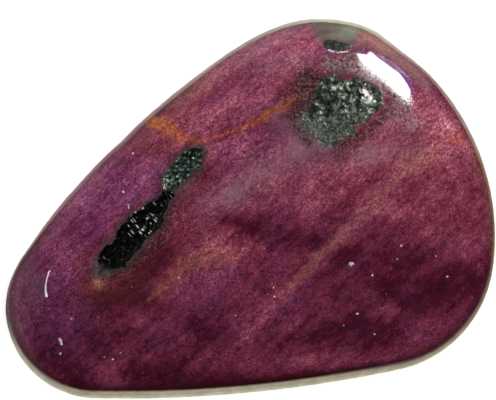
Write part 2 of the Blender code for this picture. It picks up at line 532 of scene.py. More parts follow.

# %% [markdown]
# Light and dark: the upper edge and the right side are pale and pinkish, the lower right is a deep
# wine, and bands run from the lower left to the upper right, along the crystal's own growth. A
# painted shade darkens the stone along its lower rim.

# %% The light and dark patches
LIGHT_STROKES = (
    (0.16, (-3.0, 10.6, 1.4), (0.5, 12.6, 1.6), (4.5, 13.4, 1.4)),
    (0.14, (2.0, 11.0, 1.3), (4.8, 11.8, 1.2)),
    (0.12, (-12.5, 0.0, 1.6), (-9.0, 2.6, 1.6), (-4.6, 7.2, 1.6)),
    (0.08, (-9.4, 0.8, 1.0), (-8.0, 2.0, 1.0)),
    (0.12, (-15.8, -1.0, 1.0), (-12.4, 3.2, 1.0)),
    (0.14, (-3.2, 6.6, 1.4), (0.5, 8.4, 1.4)),
    (-0.12, (2.4, 6.4, 0.9), (3.2, 6.8, 0.8)),
    (0.06, (11.6, 4.6, 1.0)),
    (0.06, (-5.4, 4.4, 0.9)),
    (0.22, (-3.2, 3.9, 1.0), (-0.6, 4.3, 1.2)),
    (0.06, (2.2, 1.6, 1.0), (2.6, 3.8, 1.0)),
    (0.14, (-3.2, -0.6, 1.0), (-1.6, 0.6, 1.3), (0.8, 1.8, 1.5), (3.1, 3.6, 1.4)),
    (0.16, (4.6, 1.6, 1.3), (8.0, 2.6, 1.3)),
    (0.15, (9.6, 3.8, 1.1)),
    (0.14, (12.5, 3.0, 1.3), (15.5, 4.0, 1.4)),
    (0.23, (10.4, 6.4, 1.0), (13.0, 6.6, 1.3), (15.6, 6.0, 1.1)),
    (0.08, (10.2, 4.6, 0.9)),
    (-0.06, (9.8, 1.4, 0.9)),
    (0.20, (14.2, 8.8, 1.0), (17.6, 4.6, 0.9)),
    (0.06, (15.0, 0.0, 1.6)),
    (0.15, (10.2, -0.6, 1.0), (12.8, -1.0, 1.1)),
    (0.17, (14.6, -3.2, 1.1), (17.8, -3.8, 1.3)),
    (0.10, (4.2, -0.6, 1.0), (6.4, 0.0, 0.8)),
    (0.14, (-3.4, -3.4, 1.2), (-0.8, -4.2, 1.1)),
    (0.12, (-5.0, -4.8, 0.7), (-1.6, -4.9, 0.8)),
    (0.08, (-3.4, -6.2, 0.9), (-1.6, -6.4, 0.9)),
    (0.10, (3.2, -7.2, 0.5), (1.8, -8.4, 0.7), (-0.4, -10.4, 0.7), (-2.2, -12.8, 0.5)),
    (0.10, (-14.6, -4.0, 0.9), (-13.0, -5.4, 0.9)),
    (0.14, (-15.6, -3.4, 1.2), (-14.8, -5.8, 1.3)),
    (0.10, (0.0, -11.0, 0.8), (-0.6, -13.0, 0.6)),
    (0.16, (9.8, -8.4, 0.9), (11.2, -8.8, 0.7)),
    (0.08, (13.0, -10.3, 1.0)),
    (0.10, (4.0, -12.8, 0.6), (8.4, -12.4, 0.6)),
    (-0.20, (10.3, -7.2, 3.6), (15.9, -5.6, 3.4)),
    (-0.12, (12.6, -8.6, 1.0), (15.4, -7.4, 1.2)),
    (-0.10, (17.6, -6.4, 1.0)),
    (-0.10, (7.2, -4.4, 0.8), (10.6, -4.4, 0.8)),
    (-0.16, (-1.8, -1.7, 0.7), (0.6, -2.3, 0.9), (2.8, -3.1, 1.2), (5.0, -3.4, 1.0)),
    (-0.07, (2.8, -6.0, 1.4), (7.0, -6.8, 1.4)),
    (-0.07, (5.0, -8.6, 1.0)),
    (-0.07, (-17.6, -6.4, 0.9)),
    (-0.06, (15.0, -7.0, 1.2)),
    (0.07, (0.0, -0.8, 0.8)),
    (0.06, (5.2, -1.2, 0.8)),
    (0.12, (12.6, 8.6, 1.0), (13.2, 6.8, 0.8)),
    (0.06, (3.6, 10.8, 1.4)),
    (0.05, (-7.6, 2.6, 1.0), (-7.8, -0.2, 0.8)),
    (-0.10, (-7.4, -6.2, 1.0)),
    (-0.10, (-12.4, -11.2, 1.0)),
    (-0.06, (0.4, -11.2, 1.0), (3.2, -11.0, 1.0)),
    (-0.12, (-4.8, -9.6, 1.1), (-2.8, -10.8, 1.0)),
    (-0.10, (5.0, -10.2, 1.2), (9.0, -9.9, 1.0)),
    (-0.24, (-11.4, -8.4, 1.1), (-9.2, -7.4, 1.3), (-7.4, -8.6, 0.9)),
    (-0.22, (-8.8, -5.6, 1.0), (-7.0, -4.2, 1.0)),
    (0.06, (10.4, -5.0, 1.2), (12.6, -6.2, 1.2)),
    (-0.06, (-2.4, -10.8, 1.2), (0.2, -8.8, 0.8)),
    (-0.18, (-16.5, -12.3, 1.5), (-13.7, -14.2, 1.5)),
    (-0.14, (-8.9, -13.9, 1.2), (-4.0, -14.2, 1.0), (5.6, -14.0, 0.9)),
    (-0.10, (-13.0, -11.2, 1.2), (-9.6, -11.0, 1.3), (-4.6, -12.2, 1.4), (2.4, -11.6, 1.2)),
    (-0.10, (4.6, -11.2, 1.2), (12.0, -11.2, 1.1)),
    (-0.08, (-9.8, -13.6, 1.0), (-6.0, -13.6, 1.0)),
    (-0.10, (1.1, -5.3, 0.7), (0.9, -7.3, 0.6)),
    # Painted shade: darker along the lower rim.
    (-0.16, (-14.0, -14.8, 0.6), (-9.0, -15.0, 0.6), (2.0, -14.4, 0.6), (10.0, -13.2, 0.6)),
)
BASE_LIGHTNESS = 0.465
paint("lightness", BASE_LIGHTNESS + wash(LIGHT_STROKES))

# %% [markdown]
# Warm and cool: the left end leans to violet, the right edge and the pool in the middle to a warm
# red. Haze is the milky mauve veil where tiny needles in the stone scatter light. Brown and tan
# are weak stains, next to the minerals and along the edge. Along the upper right rim, the haze and
# tan are partly a painted reflection of the bright backdrop in the steep shoulder.

# %% The violet, warm and hazy patches
WARM_STROKES = (
    (-0.35, (-16.9, -7.1, 3.2), (-12.9, -0.7, 3.2), (-8.9, 2.1, 2.6)),
    (-0.35, (-15.2, -10.4, 3.2)),
    (-0.20, (-7.2, -10.4, 1.4), (-2.4, -8.1, 1.4)),
    (-0.12, (-2.2, 3.0, 1.2), (2.4, 5.6, 1.0)),
    (0.35, (10.0, 3.0, 4.0), (16.0, 0.0, 3.6)),
    (0.35, (-12.0, -6.8, 1.4), (-6.4, -3.3, 1.4)),
    (0.45, (-8.1, 5.1, 1.3), (-5.4, 6.4, 1.2), (-4.9, 2.8, 1.4)),
    (0.45, (-0.9, -3.7, 1.5)),
    (0.35, (-4.1, 9.7, 1.3)),
    (0.30, (4.6, -5.8, 1.4)),
    (0.30, (15.4, 6.4, 1.4)),
)
HAZE_AND_RIM_REFLECTION_STROKES = (
    (0.45, (-1.6, 0.4, 1.0), (0.4, 1.8, 1.4), (3.9, 3.9, 1.4)),
    (0.50, (9.5, 3.7, 0.8)),
    (0.30, (-3.6, -0.5, 0.9), (-1.3, 0.3, 1.0)),
    (0.35, (2.2, 6.6, 1.2), (4.4, 4.0, 1.1)),
    (0.30, (6.6, 3.4, 1.0), (12.6, 4.0, 1.1)),
    (0.30, (4.6, 11.6, 1.0), (0.0, 11.0, 0.9)),
    (0.25, (-5.2, 0.8, 0.9)),
    (0.35, (10.4, 6.2, 0.9), (13.0, 6.4, 0.9)),
    # Painted reflection along the upper right rim, partly the stone's own haze.
    (0.45, (9.6, 14.0, 0.8), (11.6, 12.7, 0.8), (14.2, 10.0, 0.7)),
    (0.20, (-18.0, -6.0, 1.2), (-18.4, -9.4, 1.0)),
)
BROWN_STROKES = (
    (0.55, (-13.4, -4.8, 1.0), (-12.6, -7.4, 1.6), (-9.2, -6.4, 1.2)),
    (0.40, (-5.4, 0.0, 0.9), (-4.4, -2.0, 0.9)),
    (0.45, (-8.6, 4.6, 0.9), (-6.8, 3.9, 0.9)),
    (0.35, (-6.4, -4.6, 0.9), (-3.6, -5.4, 0.9)),
)
TAN_AND_RIM_REFLECTION_STROKES = (
    # Painted reflection along the upper right rim, partly a tan stain.
    (0.25, (9.6, 14.2, 0.8), (11.6, 12.9, 0.8), (13.9, 10.7, 0.7)),
    (0.5, (8.9, 13.9, 0.8), (11.0, 12.8, 0.7)),
    (0.35, (17.8, 5.0, 0.4), (19.3, 0.5, 0.3), (19.5, -4.0, 0.3)),
    (0.3, (-6.0, 8.6, 0.8), (-4.0, 9.8, 0.8)),
    (0.9, (-12.1, -6.7, 0.45)),
    (0.3, (12.5, 2.6, 0.8), (15.0, 4.2, 0.8)),
)
BASE_WARMTH = 0.64
paint("warmth", BASE_WARMTH + wash(WARM_STROKES))
paint("haze_and_rim_reflection", wash(HAZE_AND_RIM_REFLECTION_STROKES))
paint("brown", wash(BROWN_STROKES))
paint("tan_and_rim_reflection", wash(TAN_AND_RIM_REFLECTION_STROKES))

# %% [markdown]
# Veins are healed cracks. Iron stains one of them orange and reddens a spot at the right edge. A
# pale tan vein runs down from the right, and a broad ochre streak lies at the lower left. Each is a
# thin stroke whose border the material's noise will break.

# %% The veins and stains
IRON_STAIN = ((-9.5, 7.5, 0.5), (-8.0, 6.8, 0.7), (-6.8, 6.2, 0.7), (-5.6, 5.2, 0.4))
IRON_LINE = (
    (-5.5, 5.1, 0.35), (-4.0, 4.7, 0.2), (-2.7, 5.1, 0.15), (-0.8, 5.7, 0.2), (1.0, 6.6, 0.35),
    (2.3, 7.4, 0.5), (4.1, 8.3, 0.4),
)
IRON_EDGE = ((16.1, 5.1, 0.5), (17.1, 5.7, 0.5), (18.3, 6.2, 0.4))
TAN_VEIN = (
    (15.2, 4.6, 0.25), (13.8, 3.8, 0.3), (12.1, 2.0, 0.3), (10.9, 0.9, 0.5), (9.2, -0.9, 0.65),
    (8.0, -2.2, 0.6), (6.8, -3.4, 0.45), (5.4, -4.5, 0.5), (4.2, -6.0, 0.5), (3.2, -7.0, 0.4),
)
OCHRE_STREAK = (
    (-1.8, -4.6, 0.7), (-2.8, -4.7, 0.8), (-4.4, -5.0, 0.9), (-5.9, -6.0, 0.7), (-7.3, -7.2, 0.4),
    (-8.2, -8.1, 0.15),
)
paint("iron", closeness(IRON_STAIN))
paint("iron_edge", closeness(IRON_EDGE))
paint("iron_line", closeness(IRON_LINE))
paint("tan_vein", closeness(TAN_VEIN))
paint("ochre", closeness(OCHRE_STREAK))

# %% [markdown]
# The minerals: a near-black one at the lower left, a dark green granular one above it, a large
# grey-green one at the top and a small one at the upper edge, in a pale olive patch. The ruby is
# stained dark brown beside and below them, and pale grey above and to the right of the top one.
# The pale and lit strokes lighten the crystals, partly their own paler colour and partly a painted
# highlight where they catch the light, and darken them where they are negative.

# %% The fringes of the minerals
DARK_FRINGE = (
    (1.3, (4.2, 9.0, 0.9), (5.2, 8.6, 0.9), (4.8, 7.4, 0.9)),
    (0.5, (2.4, 8.2, 0.7), (3.6, 7.6, 0.8)),
    (0.9, (4.6, 10.2, 0.9), (5.5, 9.6, 0.8)),
    (0.8, (3.4, 6.2, 0.8), (4.6, 4.8, 0.7)),
    (0.7, (6.8, 3.9, 0.7), (9.6, 5.6, 0.8), (11.0, 7.2, 0.6)),
    (0.7, (-11.6, -6.2, 0.6), (-9.2, -5.0, 0.8), (-7.2, -3.0, 0.8), (-6.2, -0.6, 0.7)),
    (0.4, (-7.6, 0.8, 0.7), (-6.3, 2.9, 0.7), (-5.0, 4.4, 0.5)),
    (0.5, (-5.4, 0.9, 0.6), (-3.6, 2.6, 0.6)),
)
PALE_FRINGE = (
    (0.9, (6.3, 11.0, 0.8), (8.2, 11.1, 0.9), (9.4, 10.4, 0.7)),
    (0.9, (9.6, 10.2, 0.7), (11.0, 9.2, 0.7), (12.4, 7.9, 0.7)),
    (0.5, (11.4, 7.0, 0.9), (13.0, 6.2, 0.9)),
)
# Partly the crystals' own paler colour, partly a painted highlight where they catch the light.
PALE_AND_LIT = (
    (-0.7, (5.9, 9.4, 0.6), (5.7, 7.8, 0.7), (7.4, 7.6, 0.5)),
    (-0.6, (10.2, 8.8, 0.5)),
    (0.5, (6.6, 9.3, 0.5), (7.3, 9.0, 0.5)),
    (0.8, (8.1, 9.3, 0.5), (8.0, 8.7, 0.5)),
    (0.5, (6.9, 8.9, 0.6), (7.2, 7.2, 0.6)),
    (1.4, (9.1, 9.0, 0.5), (9.5, 8.2, 0.7)),
    (0.5, (9.4, 7.6, 0.5)),
    (0.6, (7.8, 6.6, 0.7), (6.4, 4.6, 0.5)),
    (1.2, (-6.9, 1.8, 0.3), (-6.7, 1.4, 0.3)),
)
PIT_WALLS = (
    (1.0, (-12.1, -5.7, 0.7), (-11.6, -5.8, 0.5)),
    (1.0, (4.1, 6.2, 0.5), (5.1, 4.9, 0.5), (6.1, 4.1, 0.5)),
)
paint("dark_fringe", wash(DARK_FRINGE))
paint("pale_fringe", wash(PALE_FRINGE))
paint("pale_and_lit", wash(PALE_AND_LIT))
paint("pit_wall", wash(PIT_WALLS))

# %% The minerals themselves
OLIVE = ((1.2, (5.0, 5.6, 0.9), (6.0, 5.0, 0.9), (7.0, 6.0, 1.0), (8.4, 6.2, 0.8)),)
EDGE_LIGHT = ((1.0, (8.2, 14.3, 0.9)), (0.5, (6.8, 13.8, 0.8)))
# The sparkle strokes mark where the black mineral's painted splinter glints gather.
SPARKLE = ((0.32, (-9.3, -1.6, 0.6), (-8.2, -2.3, 0.9)), (0.14, (-10.2, -4.4, 0.8)))
OUTLINES = {
    "black_mineral": BLACK_MINERAL,
    "green_mineral": GREEN_MINERAL,
    "top_mineral": TOP_MINERAL,
    "edge_mineral": EDGE_MINERAL,
    "edge_pale": EDGE_PALE,
}
for name, corners in OUTLINES.items():
    paint(name, inside_outline(spots[:, :2], corners).clip(-1, 1))
paint("olive", wash(OLIVE))
paint("edge_light", wash(EDGE_LIGHT))
paint("sparkle", wash(SPARKLE))
paint("glint", np.max([closeness(glint) for glint in GLINTS], axis=0))
HOLLOW_REACH = 1.3
HOLLOW_FADE = 0.15
nearest_hollow = np.min([off_stroke(spots[:, :2], stroke) for stroke, _ in HOLLOWS], axis=0)
in_hollow = np.clip((HOLLOW_REACH - nearest_hollow) / HOLLOW_FADE, 0, 1)
paint("hollow", in_hollow * (spots[:, 2] > DOME_FOOT))

# %% [markdown]
# The ground parts are the girdle and the back. The mask is 1 there and 0 on the polished dome, and
# it changes over the width of one mesh ring, as sharply as the real edge between the two finishes.
# The girdle's tint changes round the stone, so each tint has a weight of its own, highest at the
# headings given here: a heading in degrees, the weight there and how far it spreads.

# %% The ground and the edge
GIRDLE_TINTS = {
    "upper_side": ((78, 1.0, 48),),
    "pinkish": ((160, 1.0, 46), (40, 0.8, 16)),
    "tawny": ((-5, 1.0, 36),),
    "greenish": ((67, 0.9, 16),),
    "dusky": ((-157, 1.0, 6),),
    # The last weights place a painted shade, a dark line at the top of the girdle, under the dome's
    # edge.
    "girdle_shade_line": ((-36, 1.0, 22), (-148, 1.0, 12)),
}
paint("ground", (spots[:, 2] < girdle_top - 0.01).astype(float))
paint("climb", np.clip(spots[:, 2] / girdle_top, 0, 1))
headings = np.arctan2(spots[:, 1], spots[:, 0])
for name, tints in GIRDLE_TINTS.items():
    waves = [(radians(place), weight, radians(spread)) for place, weight, spread in tints]
    paint(name, wave(waves, headings))

# %% The painted shade line along the edge
EDGE_LINE_WIDTH = 0.45
EDGE_LINE_FADE = 0.35
edge_distance = rim_distance(spots[:, :2] * MM) / MM
at_edge = np.clip((EDGE_LINE_WIDTH - edge_distance) / EDGE_LINE_FADE, 0, 1)
line_strength = 0.35 + wave([(radians(-85), 0.65, radians(60))], headings)
paint("edge_shade_line", at_edge * (spots[:, 2] > girdle_top - 0.1) * line_strength)

# %% [markdown]
# The material starts with a few helpers, so that each later cell reads like a recipe: a node with
# its inputs given by name, a sum or a product, and a mix of two colours. Colours are written as
# they look on a screen and turned into the linear light that the shader works in.

# %% Node helpers
polish = bpy.data.materials.new("polished_ruby_finish")
polish.use_nodes = True
tree = polish.node_tree
shader = tree.nodes["Principled BSDF"]


def node(kind, inputs, **settings):
    """A new shader node with its settings, and its inputs linked or filled in by name."""
    made = tree.nodes.new("ShaderNode" + kind)
    for name, value in settings.items():
        setattr(made, name, value)
    for name, value in inputs.items():
        if isinstance(value, bpy.types.NodeSocket):
            tree.links.new(value, made.inputs[name])
        else:
            made.inputs[name].default_value = value
    return made


def maths(operation, first, second=0.0, third=0.0):
    inputs = {0: first, 1: second, 2: third}
    return node("Math", inputs, operation=operation).outputs[0]


def pigment(code):
    """A screen colour such as "#74234a" as linear light."""
    levels = [int(code[i : i + 2], 16) / 255 for i in (1, 3, 5)]
    return (*[(v / 12.92 if v < 0.04 else ((v + 0.055) / 1.055) ** 2.4) for v in levels], 1.0)


def blend_colours(share, under, over):
    """The first colour where the share is 0, and the second where it is 1."""
    inputs = {"Factor": share, 6: under, 7: over}
    return node("Mix", inputs, data_type="RGBA").outputs[2]


def painted(name):
    return node("Attribute", {}, attribute_name=name).outputs["Fac"]


def fade(value, low, high):
    """0 below the low value, 1 above the high one and a smooth rise between."""
    inputs = {"Value": value, "From Min": low, "From Max": high}
    return node("MapRange", inputs, interpolation_type="SMOOTHSTEP").outputs[0]


def light_scale(value, stops):
    """A colour scale through these stops, each a place from 0 to 1 and a linear colour."""
    made = node("ValToRGB", {"Fac": value})
    elements = made.color_ramp.elements
    while len(elements) < len(stops):
        elements.new(0.5)
    for element, (place, colour) in zip(elements, stops):
        element.position = place
        element.color = colour
    return made.outputs["Color"]


def ramp(value, stops):
    """The same for screen colours."""
    return light_scale(value, [(place, pigment(code)) for place, code in stops])


# %% [markdown]
# Patterns read the object's own coordinates. The mapping turns them along the growth bands and
# divides by the size of one blotch, long, wide and deep, so each noise is given in millimetres.

# %% Pattern helpers
BAND_HEADING = radians(42)
object_place = node("TexCoord", {}).outputs["Object"]


def space(size, heading=0.0):
    """Coordinates in which one unit is a blotch of this size in millimetres, turned this way."""
    inputs = {"Vector": object_place, "Rotation": (0, 0, heading), "Scale": [s * MM for s in size]}
    return node("Mapping", inputs, vector_type="TEXTURE").outputs["Vector"]


def cloud(size, detail, heading=0.0, roughness=0.5):
    """Soft noise from about 0.3 to 0.7, with 0.5 as its middle."""
    inputs = {"Vector": space(size, heading), "Scale": 1.0, "Detail": detail, "Roughness": roughness}
    return node("TexNoise", inputs).outputs["Fac"]


def cells(size, heading=0.0, output="Color"):
    """Rounded grains of this size, each with its own random value, or their distance field."""
    return node("TexVoronoi", {"Vector": space(size, heading), "Scale": 1.0}).outputs[output]


def random_shade(grains, channel="Red"):
    """One random value per grain, from 0 to 1."""
    return node("SeparateColor", {"Color": grains}).outputs[channel]


# %% [markdown]
# The ruby itself: the painted light and dark, plus clouds, bands along the growth, mottling and a
# fine grain, each with its own share. Two colour scales, one wine red and one violet, are mixed by
# the painted warmth, so a shadow in the violet end stays violet.

# %% The ruby's colour
broad = cloud((5, 5, 5), 3.0)
bands = cloud((6.0, 0.8, 3.0), 5.0, BAND_HEADING, 0.6)
mottling = cloud((0.9, 0.7, 0.9), 4.0, BAND_HEADING, 0.6)
grain = cloud((0.22, 0.22, 0.22), 3.0, 0.0, 0.7)


def centred(pattern, strength):
    """A pattern moved to have 0 as its middle, times a strength."""
    return maths("MULTIPLY", maths("SUBTRACT", pattern, 0.5), strength)


tone = painted("lightness")
for pattern, strength in ((broad, 0.30), (bands, 0.45), (mottling, 0.45), (grain, 0.10)):
    tone = maths("ADD", tone, centred(pattern, strength))
warm_mix = maths("ADD", painted("warmth"), centred(cloud((2.5, 1.5, 2.5), 3.0, BAND_HEADING), 1.0))
wine = ramp(
    tone, ((0.0, "#1e060a"), (0.28, "#461222"), (0.5, "#6c2c3e"), (0.75, "#924e5c"), (1.0, "#b6767e"))
)
violet = ramp(
    tone, ((0.0, "#1a0712"), (0.28, "#3a1429"), (0.5, "#5c2748"), (0.75, "#7c4063"), (1.0, "#9c6084"))
)
ruby = blend_colours(fade(warm_mix, 0.1, 0.9), violet, wine)

# %% [markdown]
# The haze and the stains lie over the ruby as thin washes, stronger where the mottling is light. A
# vein's border is broken by noise before it fades out, so it looks healed and not drawn.

# %% The haze, veins and stains
for name, colour in (("haze_and_rim_reflection", "#7a5a66"), ("brown", "#502424"), ("tan_and_rim_reflection", "#92624f")):
    share = maths("MULTIPLY", painted(name), maths("ADD", mottling, 0.4))
    ruby = blend_colours(share, ruby, pigment(colour))
ragged = centred(cloud((0.5, 0.5, 0.5), 4.0, 0.0, 0.65), 2.6)
veins = (
    ("ochre", 0.40, "#84503c"),
    ("tan_vein", 0.32, "#9c6460"),
    ("iron", 0.80, "#a0582c"),
    ("iron_edge", 0.50, "#9a4630"),
    ("iron_line", 0.60, "#964c1e"),
)
for name, strength, colour in veins:
    share = fade(maths("MULTIPLY_ADD", ragged, 1.4, painted(name)), -0.4, 0.9)
    ruby = blend_colours(maths("MULTIPLY", share, strength), ruby, pigment(colour))

# %% [markdown]
# The fine grain is a multiplier, the way tiny flaws in a stone darken or brighten whatever colour
# lies there. It is deeper where the stone is light, and the haze softens it.

# %% The fine grain
fine_grain = cloud((0.13, 0.13, 0.13), 2.0, 0.0, 0.6)
coarse_grain = cloud((0.5, 0.26, 0.4), 2.0, BAND_HEADING, 0.6)
grain_sum = maths("ADD", centred(fine_grain, 3.0), centred(grain, 2.4))
grain_sum = maths("ADD", grain_sum, centred(coarse_grain, 2.0))
grain_depth = maths("MULTIPLY_ADD", painted("lightness"), 2.0, 0.25)
grain_depth = maths("MAXIMUM", maths("MULTIPLY_ADD", painted("haze_and_rim_reflection"), -1.1, grain_depth), 0.4)
grain_factor = maths("POWER", 2.0, maths("MULTIPLY", grain_sum, grain_depth))
ruby = node("VectorMath", {0: ruby, "Scale": grain_factor}, operation="SCALE").outputs["Vector"]

# %% [markdown]
# Round the minerals the ruby is stained and speckled, in dark brown or in a pale greyish pink. The
# specks are the peaks and the pits of the grain noise.

# %% The speckled fringes
dark_specks = fade(grain, 0.50, 0.40)
pale_specks = fade(grain, 0.53, 0.64)
fringes = (("dark_fringe", "#3c2422", 0.75, 0.25), ("pale_fringe", "#7a6064", 0.85, 0.60))
for name, stain, dark_share, pale_share in fringes:
    fringe = maths("MINIMUM", maths("MULTIPLY_ADD", ragged, 0.5, painted(name)), 1.0)
    fringe = fade(fringe, 0.15, 0.95)
    ruby = blend_colours(maths("MULTIPLY", fringe, 0.75), ruby, pigment(stain))
    specks = maths("MULTIPLY", maths("MULTIPLY", dark_specks, fringe), dark_share)
    ruby = blend_colours(specks, ruby, pigment("#20140f"))
    specks = maths("MULTIPLY", maths("MULTIPLY", pale_specks, fringe), pale_share)
    ruby = blend_colours(specks, ruby, pigment("#a89a90"))

# %% [markdown]
# The minerals have broken borders, so noise is added to the painted distance before it is cut at
# the border. The top one and the pale patch at the edge melt into the ruby, with softer borders.


# %% Where the minerals lie
def mineral_mask(name, raggedness, softness=0.06):
    """1 inside a mineral and 0 outside, with a border broken by noise."""
    broken = maths("MULTIPLY_ADD", ragged, raggedness, painted(name))
    return fade(broken, -softness, softness)


is_black = mineral_mask("black_mineral", 0.30)
is_green = mineral_mask("green_mineral", 0.30)
is_top = mineral_mask("top_mineral", 0.55, 0.20)
is_edge = mineral_mask("edge_mineral", 0.25)
is_pale = mineral_mask("edge_pale", 0.5, 0.35)

# %% [markdown]
# The black mineral is solid, with a few long splinters painted as pale glints where they catch
# the light, most in the part that the sparkle strokes mark. Each glint is a cell that is stretched
# one way and whose random value is high enough.

# %% The black mineral
SPLINTER_HEADING = radians(-48)
SPLINTER_SIZE = (0.55, 0.12, 0.4)
splinter_glint_shade = random_shade(cells(SPLINTER_SIZE, SPLINTER_HEADING))
splinter_glint_heart = fade(cells(SPLINTER_SIZE, SPLINTER_HEADING, "Distance"), 0.50, 0.22)
is_splinter_glint = fade(maths("ADD", splinter_glint_shade, painted("sparkle")), 0.90, 1.10)
is_splinter_glint = maths("MULTIPLY", is_splinter_glint, splinter_glint_heart)
fine_shade = random_shade(cells((0.14, 0.14, 0.14)), "Green")
black_colour = ramp(fine_shade, ((0.0, "#010101"), (0.6, "#020302"), (0.9, "#0c100c"), (1.0, "#28302a")))
# Painted highlights: the splinter glints, pale on the black.
black_colour = blend_colours(is_splinter_glint, black_colour, pigment("#b4c2b6"))

# %% [markdown]
# The green minerals are masses of crystals, each pale in its middle and dark at its border: small
# ones in the one beside the black, coarser grey-green ones at the top, where the mass fades into
# olive on its lower side. The one at the edge is the darkest and lies in a pale olive patch.


# %% The green minerals
def crystal_shade(size, level, variety):
    """Crystals this size in millimetres, bright in the middle, lighter where painted pale and lit."""
    shade = maths("MULTIPLY_ADD", fine_shade, variety, level)
    shade = maths("SUBTRACT", shade, cells((size, size, size), 0.0, "Distance"))
    return maths("ADD", shade, maths("MULTIPLY", painted("pale_and_lit"), 0.2))


green_shade = crystal_shade(0.27, 0.68, 0.5)
green_colour = ramp(
    green_shade,
    ((0.1, "#050d09"), (0.35, "#12231b"), (0.6, "#2e443a"), (0.85, "#5c7060"), (1.0, "#9aaa94")),
)
edge_mineral_colour = ramp(green_shade, ((0.3, "#040a07"), (0.7, "#11211a"), (1.0, "#3a5446")))
top_shade = crystal_shade(0.62, 0.62, 0.6)
top_colour = ramp(
    top_shade,
    ((0.1, "#070d09"), (0.35, "#1a261d"), (0.6, "#3b4a3c"), (0.85, "#707c68"), (1.0, "#b6bca6")),
)
olive_shade = maths("ADD", maths("MULTIPLY", grain, 0.7), maths("MULTIPLY", fine_shade, 0.3))
olive_colour = ramp(olive_shade, ((0.3, "#1a1e16"), (0.5, "#383e33"), (0.7, "#687060")))
olive_share = fade(maths("MULTIPLY_ADD", ragged, 0.4, painted("olive")), 0.2, 0.9)
top_colour = blend_colours(olive_share, top_colour, olive_colour)
pale_mix = maths("ADD", centred(mottling, 1.0), painted("edge_light"))
pale_colour = blend_colours(fade(pale_mix, 0.0, 1.0), pigment("#4c463c"), pigment("#707a62"))

# %% The minerals on the ruby
ruby = blend_colours(maths("MULTIPLY", is_pale, 0.85), ruby, pale_colour)
nearest_mineral = maths("MAXIMUM", painted("black_mineral"), painted("green_mineral"))
halo = fade(maths("MULTIPLY_ADD", ragged, 0.3, nearest_mineral), -0.65, 0.0)
ruby = blend_colours(maths("MULTIPLY", halo, 0.6), ruby, pigment("#2c2a25"))
mineral_colours = (
    (is_top, top_colour),
    (is_green, green_colour),
    (is_edge, edge_mineral_colour),
    (is_black, black_colour),
)
for mask, colour in mineral_colours:
    ruby = blend_colours(mask, ruby, colour)

# %% [markdown]
# Three small things of painted light finish the dome. The glints are painted highlights, white
# dots and dashes where grains catch the light, brightest where the crystals are painted pale and
# lit. The flecks are faint painted glints, pink cells scattered all over. A painted shade darkens a
# thin line along the polished edge, strongest on the lower side.

# %% The painted glints, flecks and edge shade
# Painted highlights: the glints, small white dots and dashes of light.
is_glint = fade(maths("ADD", painted("glint"), centred(grain, 3.0)), 0.0, 0.6)
glint_share = maths("MULTIPLY", is_glint, fade(painted("pale_and_lit"), -0.8, 1.2))
glint_share = maths("MULTIPLY_ADD", glint_share, 0.5, maths("MULTIPLY", is_glint, 0.4))
ruby = blend_colours(glint_share, ruby, pigment("#f4eae8"))
# Painted highlights: faint pink flecks of light scattered all over the dome.
GLINT_FLECK_SIZE = (0.45, 0.45, 0.45)
glint_fleck_shade = random_shade(cells(GLINT_FLECK_SIZE))
glint_fleck_heart = fade(cells(GLINT_FLECK_SIZE, 0.0, "Distance"), 0.16, 0.05)
is_glint_fleck = maths("MULTIPLY", fade(glint_fleck_shade, 0.84, 1.0), glint_fleck_heart)
ruby = blend_colours(maths("MULTIPLY", is_glint_fleck, 0.45), ruby, pigment("#c8a0ae"))
# Painted shade: a dark line along the polished edge, strongest on the lower side.
ruby = blend_colours(maths("MULTIPLY", painted("edge_shade_line"), 0.9), ruby, pigment("#240e08"))

# %% [markdown]
# The girdle and the back are ground with a coarse wheel. A ground surface scatters light, so the
# same ruby looks pale and chalky there. Each colour scale climbs from the foot to the edge, and the
# painted weights choose between them round the stone.

# %% The ground finish
ground = painted("ground")
climb = painted("climb")
chalk = ramp(
    climb, ((0.0, "#d4d8ba"), (0.35, "#bcbe9a"), (0.5, "#aea88a"), (0.7, "#bcae96"), (0.9, "#5c4436"))
)
upper_chalk = ramp(climb, ((0.0, "#c8beae"), (0.25, "#b09e94"), (0.5, "#968682"), (1.0, "#785a5a")))
pink_chalk = ramp(climb, ((0.0, "#d8cdc8"), (0.2, "#b8959a"), (0.43, "#94686f"), (0.7, "#7a4853")))
tawny_chalk = ramp(
    climb, ((0.0, "#c8a070"), (0.25, "#986c44"), (0.45, "#7e4e32"), (0.65, "#6c3f2a"), (0.9, "#623424"))
)
green_chalk = ramp(climb, ((0.0, "#dce2c0"), (0.4, "#b4bc98"), (1.0, "#94987c")))
dusky_chalk = ramp(climb, ((0.0, "#3c3634"), (0.4, "#524650"), (1.0, "#6e5a68")))
chalks = (
    ("upper_side", upper_chalk), ("pinkish", pink_chalk), ("tawny", tawny_chalk),
    ("greenish", green_chalk), ("dusky", dusky_chalk),
)
for name, colour in chalks:
    chalk = blend_colours(painted(name), chalk, colour)
# Painted shade: a dark line at the top of the girdle, under the dome's edge.
girdle_shade_line = maths("MULTIPLY", fade(climb, 0.55, 0.80), painted("girdle_shade_line"))
chalk = blend_colours(girdle_shade_line, chalk, pigment("#4c2c26"))
chalk = node("VectorMath", {0: chalk, "Scale": maths("ADD", mottling, 0.5)}, operation="SCALE")
chalky_ruby = blend_colours(0.85, ruby, chalk.outputs["Vector"])
surface = blend_colours(ground, ruby, chalky_ruby)
tree.links.new(surface, shader.inputs["Base Color"])

# %% [markdown]
# The polish: ruby bends light strongly, an IOR of 1.77, so its dome mirrors the room more than
# glass would. The minerals and their hollows take a poorer polish, the steep walls of two hollows a
# poorer one still, and the ground parts none. A bump gives the finest relief, far too small for
# the mesh.

